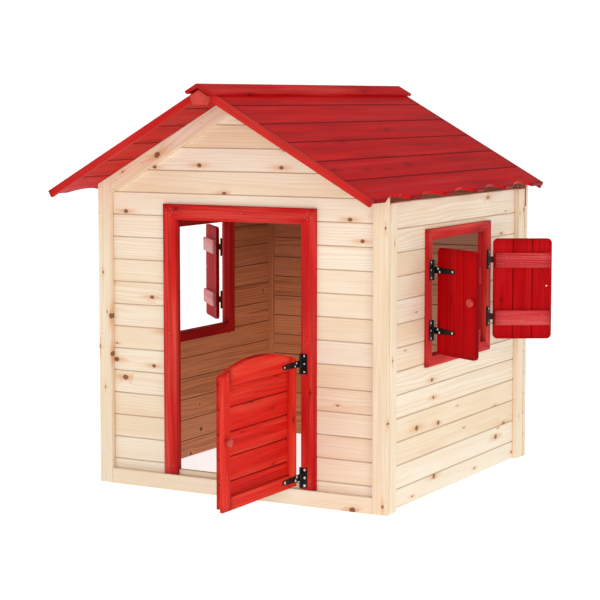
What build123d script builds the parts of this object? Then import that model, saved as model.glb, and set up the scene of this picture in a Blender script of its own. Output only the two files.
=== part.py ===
"""A child's wooden playhouse: four boarded wall panels, a gabled red roof, a half door and four shutters.

Millimetres. +Z is up and the front, with the door, faces -Y. The origin is the middle of the underside
of the front bottom rail, on the ground. The door and the shutters are made in the open pose they rest in.
"""

import os
from math import ceil, copysign, cos, radians, sin, tan

from build123d import *

os.makedirs("parts", exist_ok=True)

# --- Timber sections ---
BOARD_T = 12.0  # wall, roof, door and shutter boards
BOARD_COVER = 77.0  # height of wall that one wall board covers
GROOVE = 3.0  # bevel on the outer edges of a board; two of them make the V joint
BACK_GROOVE = 1.5  # bevel on the inner edges of a board
ARRIS = 1.5  # taken off the outer edges of posts, battens and casings
POST_T = 18.0  # posts, bottom rails and gable battens
POST_W = 52.0  # front and back posts
SIDE_POST_W = 54.0
CORNER_BATTEN = 17.0  # square battens in the inner corners

# --- Walls ---
HOUSE_W = 1110.0  # over the posts
HOUSE_D = 1162.0  # front post face to back post face
FRONT_FIRST_JOINT = 86.0  # lowest board joint in the front and back panels
SIDE_FIRST_JOINT = 64.0  # lowest board joint in the side panels
SIDE_JOINTS = 12
SIDE_TOP_BOARD = 87.0
RAIL_H = 53.0  # front and back bottom rails
SILL_H = 71.0  # board behind the rail in the doorway
SMALLEST_TOP_BOARD = 20.0
CORNER_BATTEN_DROP = 12.0  # below the side wall's top edge

# --- Roof ---
PITCH = radians(29.5)
EAVE_GAP = 37.0  # side wall top to the roof's underside, at the outside of the wall
SIDE_OVERHANG = 53.0
FRONT_OVERHANG = 212.0
REAR_OVERHANG = 22.0
ROOF_COVER = 116.0  # width of slope that one roof board covers
ROOF_GROOVE = 2.0
ROOF_FIT = 1.0  # gable boards stop this far under the roof
GABLE_BATTEN_W = 51.0
ROOF_BATTEN_W = 40.0
ROOF_BATTEN_T = 20.0
ROOF_BATTEN_END_GAP = 10.0  # to the inside of the side boards
BARGE_T = 15.0
BARGE_H = 24.0
CAP_T = 10.0
RIGHT_CAP_W = 56.0
LEFT_CAP_W = 44.0
CAP_FRONT = 31.0  # ridge caps past the front bargeboards
CAP_REAR = 26.0
SCALLOP_W = 186.0
SCALLOP_DEPTH = 24.0
TOOTH_W = 65.0
SMALLEST_END_TOOTH = 50.0
BLOCK_W = 72.0
BLOCK_FOOT_W = 45.0
BLOCK_H = 49.0
BLOCK_T = 18.0
BLOCK_DROP = 8.0  # block's point under the roof's

# --- Door ---
DOOR_OPENING_W = 480.0
DOOR_HEAD_JOINT = 11  # board joint that the head lining hangs from
LINING_T = 12.0
DOOR_CASING_W = 53.0
DOOR_CASING_T = 13.0
DOOR_BOTTOM = 68.0
DOOR_SIDE_H = 418.0
DOOR_RISE = 39.0  # of the arch over the sides
STILE_W = 43.0
BOTTOM_RAIL_H = 43.0
TOP_RAIL_EDGE = 35.0  # top rail's straight lower edge, below the door's shoulders
DOOR_BOARD_LIFT = 10.0  # back boards stop short of the frame's foot, to clear the sill board
DOOR_FREE_GAP = 5.0
DOOR_OPEN = 90.0
DOOR_KNOB_HEIGHT = 216.0  # over the door's foot
DOOR_KNOB_INSET = 19.0  # from the free edge
DOOR_HINGE_INSET = 25.0  # lower hinge over the door's foot
DOOR_HINGE_DROP = 18.0  # upper hinge below the shoulders

# --- Windows ---
WINDOW_W = 452.0
WINDOW_SILL_JOINT = 5
WINDOW_SILL_STRIP = 12.0  # board left between that joint and the lining
WINDOW_HEAD_JOINT = 11
WINDOW_HEAD_STRIP = 38.0
WINDOW_CASING_W = 36.0
WINDOW_CASING_T = 12.0
SHUTTER_FOOT_GAP = 8.0
SHUTTER_H = 355.0
SHUTTER_MEETING_GAP = 4.0
SHUTTER_BOARDS = 3
SHUTTER_CORNER_R = 16.0
BATTEN_H = 52.0
BATTEN_END_INSET = 6.0
UPPER_BATTEN_Z = 278.0  # batten middles, over the shutter's foot
LOWER_BATTEN_Z = 75.0
UPPER_HINGE_Z = 280.0
LOWER_HINGE_Z = 78.0
SHUTTER_KNOB_Z = 188.0
SHUTTER_KNOB_INSET = 18.0
RIGHT_FRONT_OPEN = 118.0
RIGHT_REAR_OPEN = 120.0
LEFT_FRONT_OPEN = 70.0
LEFT_REAR_OPEN = 137.0

# --- Tee hinges, knobs and screws ---
KNUCKLE_R = 3.5
PIN_R = 2.0
PIN_FIT = 0.05
PIN_HEAD_R = 3.0
PIN_HEAD_H = 1.5
HINGE_T = 2.0
PLATE_H = 66.0
PLATE_W = 24.0
STRAP_KNUCKLE_H = 24.0
KNUCKLE_GAP = 0.3
NOTCH_GAP = 0.7  # plate to the strap's knuckle
STRAP_L = 111.0
STRAP_ROOT_W = 23.0
STRAP_TIP_R = 7.5
STRAP_SCREWS = ((22.0, 5.0), (31.0, -5.0), (100.0, 0.0))  # along the strap, up from its middle
PLATE_SCREW_X = 14.0
PLATE_SCREW_END = 7.0
LEAF_SETBACK = 18.0  # hinge axis to the edge of the door or shutter
SCREW_R = 1.75
SCREW_HOLE_R = 2.0
SCREW_HEAD_R = 3.0
SCREW_HEAD_H = 1.3
SCREW_GRIP = 9.0
PANEL_SCREW_R = 2.2
PANEL_SCREW_HEAD_R = 4.2
PANEL_SCREW_L = 45.0
PANEL_SCREW_INSET = 13.0
PANEL_SCREW_FOOT = 95.0
PANEL_SCREW_MIDDLE = 531.0
PANEL_SCREW_TOP_DROP = 68.0  # below the side wall's top edge
KNOB_R = 14.0
KNOB_NECK_R = 8.0
KNOB_NECK_H = 7.0
KNOB_H = 18.0
KNOB_ROUND = 4.0

# --- Places that follow from those sizes ---
HALF_W = HOUSE_W / 2
FRONT_Y = -POST_T / 2
BACK_Y = FRONT_Y + HOUSE_D
INNER_HALF_W = HALF_W - POST_T - BOARD_T
SIDE_START = FRONT_Y + POST_T
SIDE_END = BACK_Y - POST_T - BOARD_T
SIDE_TOP = SIDE_FIRST_JOINT + (SIDE_JOINTS - 1) * BOARD_COVER + SIDE_TOP_BOARD
APEX_Z = SIDE_TOP + EAVE_GAP + HALF_W * tan(PITCH) + BOARD_T / cos(PITCH)
ROOF_FRONT = FRONT_Y - FRONT_OVERHANG
ROOF_REAR = BACK_Y + REAR_OVERHANG
SLOPE_L = (HALF_W + SIDE_OVERHANG) / cos(PITCH)

UP = Vector(0, 0, 1)
# Each wall's plane is the outer face of its boards: x to the right and z towards someone outside.
FRONT = Plane(origin=(0, FRONT_Y + POST_T, 0), x_dir=(1, 0, 0), z_dir=(0, -1, 0))
BACK = Plane(origin=(0, BACK_Y - POST_T, 0), x_dir=(-1, 0, 0), z_dir=(0, 1, 0))
RIGHT = Plane(origin=(HALF_W - POST_T, 0, 0), x_dir=(0, 1, 0), z_dir=(1, 0, 0))
LEFT = Plane(origin=(POST_T - HALF_W, 0, 0), x_dir=(0, -1, 0), z_dir=(-1, 0, 0))


# --- Shapes shared by many pieces ---
def prism(plane, points, depth):
    """A straight-sided piece: a closed outline on a plane, pushed along the plane's normal."""
    with BuildPart() as piece:
        with BuildSketch(plane):
            with BuildLine():
                Polyline(*points, close=True)
            make_face()
        extrude(amount=depth)
    return piece.part


def eased(shape, way):
    """The same piece with a small bevel round the face that looks one way."""
    with BuildPart() as piece:
        add(shape)
        face = piece.faces().sort_by(Axis((0, 0, 0), tuple(way)))[-1]
        chamfer(face.edges(), ARRIS)
    return piece.part


def board_section(low, high, outer=GROOVE, inner=BACK_GROOVE):
    """A board's outline across its width, from its outer face at 0 inwards to -BOARD_T."""
    return [
        (low + outer, 0),
        (high - outer, 0),
        (high, -outer),
        (high, inner - BOARD_T),
        (high - inner, -BOARD_T),
        (low + inner, -BOARD_T),
        (low, inner - BOARD_T),
        (low, -outer),
    ]


def level_board(wall, left, right, low, high):
    """A horizontal board behind a wall plane, bevelled along its upper and lower edges."""
    section = Plane(origin=wall.from_local_coords((left, 0, 0)), x_dir=UP, z_dir=wall.x_dir)
    return prism(section, board_section(low, high), right - left)


def gable_board(wall, low, high):
    """A horizontal board across a gable, its ends cut to the slopes of the roof."""
    drop = BOARD_T + ROOF_FIT
    half = min(INNER_HALF_W, (APEX_Z - drop / cos(PITCH) - low) / tan(PITCH))
    section = Plane(origin=wall.from_local_coords((-half, 0, 0)), x_dir=UP, z_dir=wall.x_dir)
    with BuildPart() as piece:
        with BuildSketch(section):
            with BuildLine():
                Polyline(*board_section(low, high), close=True)
            make_face()
        extrude(amount=2 * half)
        for side in (1, -1):
            underside = Plane(
                origin=(0, 0, APEX_Z - drop / cos(PITCH)),
                x_dir=(0, 1, 0),
                z_dir=(side * sin(PITCH), 0, cos(PITCH)),
            )
            split(bisect_by=underside, keep=Keep.BOTTOM)
    return piece.part


def rows(first_joint, top):
    """Lower and upper edges of the boards between the ground and a top edge."""
    count = ceil((top - SMALLEST_TOP_BOARD - first_joint) / BOARD_COVER)
    edges = [0.0] + [first_joint + i * BOARD_COVER for i in range(count)] + [top]
    return list(zip(edges, edges[1:]))


def boards_round(wall, row, span, hole):
    """The pieces of one row of boards that are left beside, under and over an opening."""
    low, high = row
    left, right = span
    hole_left, hole_right, hole_low, hole_high = hole
    if high <= hole_low or low >= hole_high:
        return [level_board(wall, left, right, low, high)]
    pieces = [
        level_board(wall, left, hole_left, low, high),
        level_board(wall, hole_right, right, low, high),
    ]
    if low < hole_low:
        pieces.append(level_board(wall, hole_left, hole_right, low, hole_low))
    if high > hole_high:
        pieces.append(level_board(wall, hole_left, hole_right, hole_high, high))
    return pieces


def mitred_frame(plane, opening, width, depth):
    """Four boards round an opening, mitred at its corners."""
    left, right, low, high = opening
    inner = [(left, low), (right, low), (right, high), (left, high)]
    outer = [
        (left - width, low - width),
        (right + width, low - width),
        (right + width, high + width),
        (left - width, high + width),
    ]
    pieces = []
    for i in range(4):
        j = (i + 1) % 4
        bar = prism(plane, [inner[i], inner[j], outer[j], outer[i]], depth)
        pieces.append(eased(bar, plane.z_dir * copysign(1, depth)))
    return pieces


def lining(plane, opening, depth):
    """Four boards that line an opening: two upright ones between a sill and a head."""
    left, right, low, high = opening
    bars = [
        (left - LINING_T, right + LINING_T, low - LINING_T, low),
        (left - LINING_T, right + LINING_T, high, high + LINING_T),
        (left - LINING_T, left, low, high),
        (right, right + LINING_T, low, high),
    ]
    return [prism(plane, corners(*bar), depth) for bar in bars]


def corners(left, right, low, high):
    """The corners of an upright rectangle."""
    return [(left, low), (right, low), (right, high), (left, high)]


def roof_z(x, depth):
    """Height of a line parallel to the roof, a depth under its surface, at a distance from the middle."""
    return APEX_Z - abs(x) * tan(PITCH) - depth / cos(PITCH)


def under_roof(x_near, x_far, depth, width):
    """Outline of a sloped batten with upright ends, its top edge a depth under the roof's surface."""
    return [
        (x_near, roof_z(x_near, depth)),
        (x_far, roof_z(x_far, depth)),
        (x_far, roof_z(x_far, depth + width)),
        (x_near, roof_z(x_near, depth + width)),
    ]


def slope_section(side, y):
    """Plane across a roof slope: x runs down the slope from the ridge and y is the depth under it."""
    x_dir = (side * cos(PITCH), 0, -sin(PITCH))
    return Plane(origin=(0, y, APEX_Z), x_dir=x_dir, z_dir=(0, side, 0))


def along_slope(side, points, y_from, y_to):
    """A piece that runs front to back on a roof slope, from its outline across the slope."""
    start = y_from if side > 0 else y_to
    return prism(slope_section(side, start), points, y_to - y_from)


def group(name, pieces):
    """Writes separate pieces of one kind as one named part."""
    whole = Compound(label=name, children=pieces)
    export_step(whole, f"parts/{name}.step")


def single(name, piece):
    """Writes one piece as one named part."""
    piece.label = name
    export_step(piece, f"parts/{name}.step")


# --- Front and back panels ---
door_head = FRONT_FIRST_JOINT + DOOR_HEAD_JOINT * BOARD_COVER - LINING_T
half_door = DOOR_OPENING_W / 2
door_hole = (-half_door - LINING_T, half_door + LINING_T, SILL_H, door_head + LINING_T)
gable_top = roof_z(0, BOARD_T + ROOF_FIT)
panel_rows = rows(FRONT_FIRST_JOINT, gable_top)
eave_row = sum(high <= SIDE_TOP for low, high in panel_rows)

front_boards = []
for row in panel_rows[:eave_row]:
    front_boards += boards_round(FRONT, row, (-INNER_HALF_W, INNER_HALF_W), door_hole)
sill_board = front_boards.pop(2)
for low, high in panel_rows[eave_row:]:
    front_boards.append(gable_board(FRONT, low, high))
group("front_wall_planks", front_boards)
single("door_sill_plank", sill_board)

back_boards = [level_board(BACK, -HALF_W, HALF_W, low, high) for low, high in panel_rows[:eave_row]]
back_boards += [gable_board(BACK, low, high) for low, high in panel_rows[eave_row:]]
group("back_wall_planks", back_boards)


def post_pair(wall):
    """The two upright posts of a gable panel, sloped on top to meet the roof."""
    pieces = []
    for side in (-1, 1):
        outer = side * HALF_W
        inner = side * (HALF_W - POST_W)
        outline = [
            (inner, 0),
            (outer, 0),
            (outer, roof_z(outer, BOARD_T)),
            (inner, roof_z(inner, BOARD_T)),
        ]
        pieces.append(eased(prism(wall, outline, POST_T), wall.z_dir))
    return pieces


def batten_pair(wall):
    """The two sloped battens under the roof of a gable panel, between the posts."""
    reach = HALF_W - POST_W
    outlines = [under_roof(0, side * reach, BOARD_T, GABLE_BATTEN_W) for side in (-1, 1)]
    return [eased(prism(wall, outline, POST_T), wall.z_dir) for outline in outlines]


rail_outline = corners(POST_W - HALF_W, HALF_W - POST_W, 0, RAIL_H)
group("front_posts", post_pair(FRONT))
group("back_posts", post_pair(BACK))
group("front_gable_battens", batten_pair(FRONT))
group("back_gable_battens", batten_pair(BACK))
group("bottom_rails", [prism(wall, rail_outline, POST_T) for wall in (FRONT, BACK)])

# --- Side panels ---
side_rows = rows(SIDE_FIRST_JOINT, SIDE_TOP)
window_low = SIDE_FIRST_JOINT + WINDOW_SILL_JOINT * BOARD_COVER + WINDOW_SILL_STRIP + LINING_T
window_high = SIDE_FIRST_JOINT + WINDOW_HEAD_JOINT * BOARD_COVER - WINDOW_HEAD_STRIP - LINING_T
window_middle = (SIDE_START + SIDE_END) / 2
post_pieces = []
for name, wall, facing in (("right", RIGHT, 1), ("left", LEFT, -1)):
    start, end = sorted((facing * SIDE_START, facing * SIDE_END))
    middle = facing * window_middle
    opening = (middle - WINDOW_W / 2, middle + WINDOW_W / 2, window_low, window_high)
    hole = (
        opening[0] - LINING_T,
        opening[1] + LINING_T,
        window_low - LINING_T,
        window_high + LINING_T,
    )
    boards = []
    for row in side_rows:
        boards += boards_round(wall, row, (start, end), hole)
    group(f"{name}_wall_planks", boards)
    group(f"{name}_window_casing", mitred_frame(wall, opening, WINDOW_CASING_W, WINDOW_CASING_T))
    inner_trim = mitred_frame(wall.offset(-BOARD_T), opening, WINDOW_CASING_W, -BOARD_T)
    group(f"{name}_window_lining", lining(wall, opening, -BOARD_T) + inner_trim)
    for low, high in ((start, start + SIDE_POST_W), (end - SIDE_POST_W, end)):
        post = prism(wall, corners(low, high, 0, SIDE_TOP), POST_T)
        post_pieces.append(eased(post, wall.z_dir))
group("side_posts", post_pieces)

corner_top = SIDE_TOP - CORNER_BATTEN_DROP
corner_pieces = []
for side in (-1, 1):
    for y_from in (SIDE_START + BOARD_T, SIDE_END - CORNER_BATTEN):
        outline = [
            (side * INNER_HALF_W, y_from),
            (side * (INNER_HALF_W - CORNER_BATTEN), y_from),
            (side * (INNER_HALF_W - CORNER_BATTEN), y_from + CORNER_BATTEN),
            (side * INNER_HALF_W, y_from + CORNER_BATTEN),
        ]
        corner_pieces.append(prism(Plane.XY, outline, corner_top))
group("corner_battens", corner_pieces)

# --- Door casing and lining ---
casing_foot = RAIL_H
casing_outer = half_door + DOOR_CASING_W
casing_top = door_head + DOOR_CASING_W
casing_pieces = [
    prism(
        FRONT,
        [
            (side * half_door, casing_foot),
            (side * casing_outer, casing_foot),
            (side * casing_outer, casing_top),
            (side * half_door, door_head),
        ],
        DOOR_CASING_T,
    )
    for side in (-1, 1)
]
casing_head = [
    (-half_door, door_head),
    (half_door, door_head),
    (casing_outer, casing_top),
    (-casing_outer, casing_top),
]
casing_pieces.append(prism(FRONT, casing_head, DOOR_CASING_T))
group("door_casing", [eased(piece, FRONT.z_dir) for piece in casing_pieces])

lining_bars = [
    (-half_door - LINING_T, -half_door, SILL_H, door_head),
    (half_door, half_door + LINING_T, SILL_H, door_head),
    (-half_door - LINING_T, half_door + LINING_T, door_head, door_head + LINING_T),
]
group("door_lining", [prism(FRONT, corners(*bar), -BOARD_T) for bar in lining_bars])

# --- Roof ---
plank_front = ROOF_FRONT + BARGE_T
plank_rear = ROOF_REAR - BARGE_T
plank_length = plank_rear - plank_front
scallops = int((plank_length + TOOTH_W - 2 * SMALLEST_END_TOOTH) // (SCALLOP_W + TOOTH_W))


def roof_board(side, upper, lower):
    """A roof board from one joint down to the next; the top one is cut upright at the ridge."""
    g = ROOF_GROOVE
    outline = [(lower - g, 0), (lower, g), (lower, BOARD_T - g), (lower - g, BOARD_T)]
    if upper > 0:
        outline += [(upper + g, BOARD_T), (upper, BOARD_T - g), (upper, g), (upper + g, 0)]
    else:
        outline += [(BOARD_T * tan(PITCH), BOARD_T), (0, 0)]
    return along_slope(side, outline, plank_front, plank_rear)


def eave_board(side):
    """The lowest roof board, with concave scallops cut along its lower edge."""
    surface = Plane(
        origin=(0, plank_front, APEX_Z),
        x_dir=(side * cos(PITCH), 0, -sin(PITCH)),
        z_dir=(side * sin(PITCH), 0, cos(PITCH)),
    )
    across = side  # the plane's y axis runs rearwards on the right slope and forwards on the left
    upper = SLOPE_L - ROOF_COVER
    end_tooth = (plank_length - scallops * SCALLOP_W - (scallops - 1) * TOOTH_W) / 2
    with BuildPart() as board:
        with BuildSketch(surface):
            with BuildLine():
                Line((upper, 0), (SLOPE_L, 0))
                place = 0.0
                tooth = end_tooth
                for _ in range(scallops):
                    start = place + tooth
                    Line((SLOPE_L, across * place), (SLOPE_L, across * start))
                    place = start + SCALLOP_W
                    deepest = (SLOPE_L - SCALLOP_DEPTH, across * (start + SCALLOP_W / 2))
                    ThreePointArc((SLOPE_L, across * start), deepest, (SLOPE_L, across * place))
                    tooth = TOOTH_W
                Line((SLOPE_L, across * place), (SLOPE_L, across * plank_length))
                Line((SLOPE_L, across * plank_length), (upper, across * plank_length))
                Line((upper, across * plank_length), (upper, 0))
            make_face()
        extrude(amount=-BOARD_T)
        joint = board.edges().filter_by(Axis.Y).filter_by(
            lambda e: abs(surface.to_local_coords(e.center()).X - upper) < ROOF_GROOVE
        )
        chamfer(joint, ROOF_GROOVE)
    return board.part


# Boards are counted up from the eave, and the one at the ridge takes what is left.
roof_boards = ceil((SLOPE_L - SMALLEST_TOP_BOARD) / ROOF_COVER) - 1
roof_edges = [SLOPE_L - ROOF_COVER * (i + 1) for i in range(roof_boards)] + [0.0]
for name, side in (("right", 1), ("left", -1)):
    planks = [roof_board(side, upper, lower) for lower, upper in zip(roof_edges, roof_edges[1:])]
    group(f"roof_planks_{name}", planks)
    single(f"roof_eave_plank_{name}", eave_board(side))

barge_section = [
    (0, 0),
    (SLOPE_L, 0),
    (SLOPE_L, BARGE_H),
    (BARGE_H * tan(PITCH), BARGE_H),
]
for name, y_from, facing in (("front", ROOF_FRONT, -1), ("rear", plank_rear, 1)):
    pieces = [along_slope(side, barge_section, y_from, y_from + BARGE_T) for side in (1, -1)]
    group(f"{name}_bargeboards", [eased(piece, (0, facing, 0)) for piece in pieces])

cap_ends = (ROOF_FRONT - CAP_FRONT, ROOF_REAR + CAP_REAR)
caps = []
for side, width in ((1, RIGHT_CAP_W), (-1, LEFT_CAP_W)):
    section = [(0, 0), (width, 0), (width, -CAP_T), (-CAP_T * tan(PITCH), -CAP_T)]
    caps.append(along_slope(side, section, *cap_ends))
group("ridge_caps", caps)

block_top = APEX_Z - BLOCK_DROP
block_shoulder = roof_z(BLOCK_W / 2, 0) - BLOCK_DROP
block_outline = [
    (0, block_top),
    (BLOCK_W / 2, block_shoulder),
    (BLOCK_FOOT_W / 2, block_top - BLOCK_H),
    (-BLOCK_FOOT_W / 2, block_top - BLOCK_H),
    (-BLOCK_W / 2, block_shoulder),
]
block_planes = (
    Plane(origin=(0, ROOF_FRONT, 0), x_dir=(1, 0, 0), z_dir=(0, -1, 0)),
    Plane(origin=(0, ROOF_REAR, 0), x_dir=(-1, 0, 0), z_dir=(0, 1, 0)),
)
blocks = [eased(prism(plane, block_outline, BLOCK_T), plane.z_dir) for plane in block_planes]
group("ridge_end_blocks", blocks)

batten_reach = INNER_HALF_W - ROOF_BATTEN_END_GAP
batten_starts = (
    SIDE_START + BOARD_T,
    (SIDE_START + BOARD_T + SIDE_END - ROOF_BATTEN_W) / 2,
    SIDE_END - ROOF_BATTEN_W,
)
roof_batten_pieces = []
for y_from in batten_starts:
    plane = Plane(origin=(0, y_from, 0), x_dir=(-1, 0, 0), z_dir=(0, 1, 0))
    for side in (-1, 1):
        outline = under_roof(0, side * batten_reach, BOARD_T, ROOF_BATTEN_T)
        roof_batten_pieces.append(prism(plane, outline, ROOF_BATTEN_W))
group("roof_battens", roof_batten_pieces)


# --- Tee hinges: x runs from the hinge axis towards the leaf, times the leaf's hand ---
def hinge_frame(wall, axis_x, casing_t, hand, angle):
    """Plane of a leaf that has turned open by an angle; the hinge axis is its upright line x = 0."""
    turn = radians(angle)
    out = wall.z_dir
    right = wall.x_dir
    origin = wall.from_local_coords((axis_x, 0, casing_t + KNUCKLE_R))
    x_dir = right * cos(turn) + out * (hand * sin(turn))
    z_dir = out * cos(turn) - right * (hand * sin(turn))
    return Plane(origin=origin, x_dir=x_dir, z_dir=z_dir)


def at_height(frame, z):
    """Level plane across a hinge axis at a height."""
    return Plane(origin=frame.origin + UP * z, x_dir=(1, 0, 0), z_dir=(0, 0, 1))


def hinge_plate(frame, hand, z):
    """The fixed half: a plate with three holes and two knuckles."""
    half = PLATE_H / 2
    notch_half = STRAP_KNUCKLE_H / 2 + KNUCKLE_GAP
    with BuildPart() as plate:
        with BuildSketch(frame.offset(-KNUCKLE_R)):
            with Locations((-hand * PLATE_W / 2, z)):
                Rectangle(PLATE_W, PLATE_H)
            with Locations((0, z)):
                Rectangle(2 * (KNUCKLE_R + NOTCH_GAP), 2 * notch_half, mode=Mode.SUBTRACT)
            hole_z = half - PLATE_SCREW_END
            with Locations(*[(-hand * PLATE_SCREW_X, z + dz) for dz in (-hole_z, 0, hole_z)]):
                Circle(SCREW_HOLE_R, mode=Mode.SUBTRACT)
        extrude(amount=HINGE_T)
        for start in (z - half, z + notch_half):
            with BuildSketch(at_height(frame, start)):
                Circle(KNUCKLE_R)
            extrude(amount=half - notch_half)
        with BuildSketch(at_height(frame, z - half)):
            Circle(PIN_R)
        extrude(amount=PLATE_H, mode=Mode.SUBTRACT)
    return plate.part


def hinge_strap(frame, hand, z):
    """The swinging half: a tapered strap with a rounded tip, three holes and the middle knuckle."""
    tip = STRAP_L - STRAP_TIP_R
    outline = [
        (0, z - STRAP_ROOT_W / 2),
        (hand * tip, z - STRAP_TIP_R),
        (hand * tip, z + STRAP_TIP_R),
        (0, z + STRAP_ROOT_W / 2),
    ]
    with BuildPart() as strap:
        with BuildSketch(frame.offset(-KNUCKLE_R)):
            with BuildLine():
                Polyline(*outline, close=True)
            make_face()
            with Locations((hand * tip, z)):
                Circle(STRAP_TIP_R)
            with Locations(*[(hand * x, z + dz) for x, dz in STRAP_SCREWS]):
                Circle(SCREW_HOLE_R, mode=Mode.SUBTRACT)
        extrude(amount=HINGE_T)
        with BuildSketch(at_height(frame, z - STRAP_KNUCKLE_H / 2)):
            Circle(KNUCKLE_R)
        extrude(amount=STRAP_KNUCKLE_H)
        with BuildSketch(at_height(frame, z - STRAP_KNUCKLE_H / 2)):
            Circle(PIN_R + PIN_FIT)
        extrude(amount=STRAP_KNUCKLE_H, mode=Mode.SUBTRACT)
    return strap.part


def hinge_pin(frame, z):
    """The pin, with a peened head at each end."""
    half = PLATE_H / 2
    with BuildPart() as pin:
        with BuildSketch(at_height(frame, z - half)):
            Circle(PIN_R)
        extrude(amount=PLATE_H)
        for start in (z - half - PIN_HEAD_H, z + half):
            with BuildSketch(at_height(frame, start)):
                Circle(PIN_HEAD_R)
            extrude(amount=PIN_HEAD_H)
    return pin.part


def screw(face, x, y, shank_r=SCREW_R, head_r=SCREW_HEAD_R, length=SCREW_GRIP):
    """A screw driven into a face, its domed head standing on it."""
    with BuildPart() as piece:
        with BuildSketch(face):
            with Locations((x, y)):
                Circle(shank_r)
        extrude(amount=-length)
        with BuildSketch(face):
            with Locations((x, y)):
                Circle(head_r)
        extrude(amount=SCREW_HEAD_H)
        crown = piece.edges().filter_by(
            lambda e: face.to_local_coords(e.center()).Z > SCREW_HEAD_H - SCREW_HOLE_R / 10
        )
        chamfer(crown, SCREW_HEAD_H / 2)
    return piece.part


def plate_screws(frame, hand, z):
    """The three screws of a hinge plate."""
    face = frame.offset(HINGE_T - KNUCKLE_R)
    hole_z = PLATE_H / 2 - PLATE_SCREW_END
    x = -hand * PLATE_SCREW_X
    return [screw(face, x, z + dz, length=HINGE_T + SCREW_GRIP) for dz in (-hole_z, 0, hole_z)]


def strap_screws(frame, hand, z):
    """The three screws of a hinge strap."""
    face = frame.offset(HINGE_T - KNUCKLE_R)
    return [screw(face, hand * x, z + dz, length=HINGE_T + SCREW_GRIP) for x, dz in STRAP_SCREWS]


def knob(face, x, y):
    """A turned round knob on a narrower neck."""
    with BuildPart() as piece:
        with BuildSketch(face):
            with Locations((x, y)):
                Circle(KNOB_NECK_R)
        extrude(amount=KNOB_NECK_H)
        with BuildSketch(face.offset(KNOB_NECK_H)):
            with Locations((x, y)):
                Circle(KNOB_R)
        extrude(amount=KNOB_H - KNOB_NECK_H)
        round_edges = piece.edges().filter_by(GeomType.CIRCLE)
        fillet(round_edges.filter_by(lambda e: e.radius > KNOB_NECK_R + 1), KNOB_ROUND)
    return piece.part


pins = []
fixed_screws = []


def hang(frame, closed, hand, heights, plates_name, straps_name):
    """Makes the hinges of one leaf and returns its strap screws; pins and plate screws are gathered."""
    for z in heights:
        pins.append(hinge_pin(closed, z))
        fixed_screws.extend(plate_screws(closed, hand, z))
    if plates_name:
        group(plates_name, [hinge_plate(closed, hand, z) for z in heights])
    group(straps_name, [hinge_strap(frame, hand, z) for z in heights])
    return [piece for z in heights for piece in strap_screws(frame, hand, z)]


# --- Half door, hung on the right-hand jamb ---
door_hand = -1
door_w = DOOR_OPENING_W - LEAF_SETBACK - DOOR_FREE_GAP
door_frame = hinge_frame(FRONT, half_door, DOOR_CASING_T, door_hand, DOOR_OPEN)
door_jamb = hinge_frame(FRONT, half_door, DOOR_CASING_T, door_hand, 0)
door_face = door_frame.offset(-KNUCKLE_R)
door_near = LEAF_SETBACK
door_far = LEAF_SETBACK + door_w
shoulder = DOOR_BOTTOM + DOOR_SIDE_H
arch_r = ((door_w / 2) ** 2 + DOOR_RISE**2) / (2 * DOOR_RISE)
arch_middle = (door_near + door_far) / 2
arch_centre_z = shoulder + DOOR_RISE - arch_r


def arched_piece(plane, near, far, low, depth):
    """A piece of the door with a straight foot and upright sides, cut to the arch on top."""
    with BuildPart() as piece:
        with BuildSketch(plane):
            with Locations((door_hand * arch_middle, arch_centre_z)):
                Circle(arch_r)
            reach = shoulder + DOOR_RISE - low
            with Locations((door_hand * (near + far) / 2, low + reach / 2)):
                Rectangle(far - near, reach, mode=Mode.INTERSECT)
        extrude(amount=depth)
    return piece.part


def frame_piece(near, far, low):
    """A stile or the top rail of the door, in its front layer."""
    return eased(arched_piece(door_face, near, far, low, -BOARD_T), door_face.z_dir)


rail_near = door_near + STILE_W
rail_far = door_far - STILE_W
single("door_stile_hinge_side", frame_piece(door_near, rail_near, DOOR_BOTTOM))
single("door_stile_free_side", frame_piece(rail_far, door_far, DOOR_BOTTOM))
top_rail_low = shoulder - TOP_RAIL_EDGE
single("door_top_rail", frame_piece(rail_near, rail_far, top_rail_low))
bottom_rail = sorted((door_hand * rail_near, door_hand * rail_far))
bottom_rail_outline = corners(*bottom_rail, DOOR_BOTTOM, DOOR_BOTTOM + BOTTOM_RAIL_H)
bottom_rail_piece = prism(door_face, bottom_rail_outline, -BOARD_T)
single("door_bottom_rail", eased(bottom_rail_piece, door_face.z_dir))

door_back = door_face.offset(-BOARD_T)
door_boards = []
board_low = DOOR_BOTTOM + DOOR_BOARD_LIFT
while board_low + BOARD_COVER < top_rail_low + BOTTOM_RAIL_H:
    left, right = sorted((door_hand * door_near, door_hand * door_far))
    door_boards.append(level_board(door_back, left, right, board_low, board_low + BOARD_COVER))
    board_low += BOARD_COVER
door_boards.append(arched_piece(door_back, door_near, door_far, board_low, -BOARD_T))
group("door_planks", door_boards)

knob_x = door_hand * (door_far - DOOR_KNOB_INSET)
single("door_knob", knob(door_face, knob_x, DOOR_BOTTOM + DOOR_KNOB_HEIGHT))
door_heights = (DOOR_BOTTOM + DOOR_HINGE_INSET, shoulder - DOOR_HINGE_DROP)
door_straps = "door_hinge_straps"
door_screws = hang(door_frame, door_jamb, door_hand, door_heights, "door_hinge_plates", door_straps)
group("door_screws", door_screws)

# --- Shutters, two to a window ---
shutter_w = (WINDOW_W - SHUTTER_MEETING_GAP) / 2 - LEAF_SETBACK
shutter_low = window_low + SHUTTER_FOOT_GAP
shutter_high = shutter_low + SHUTTER_H
shutter_far = LEAF_SETBACK + shutter_w


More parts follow.
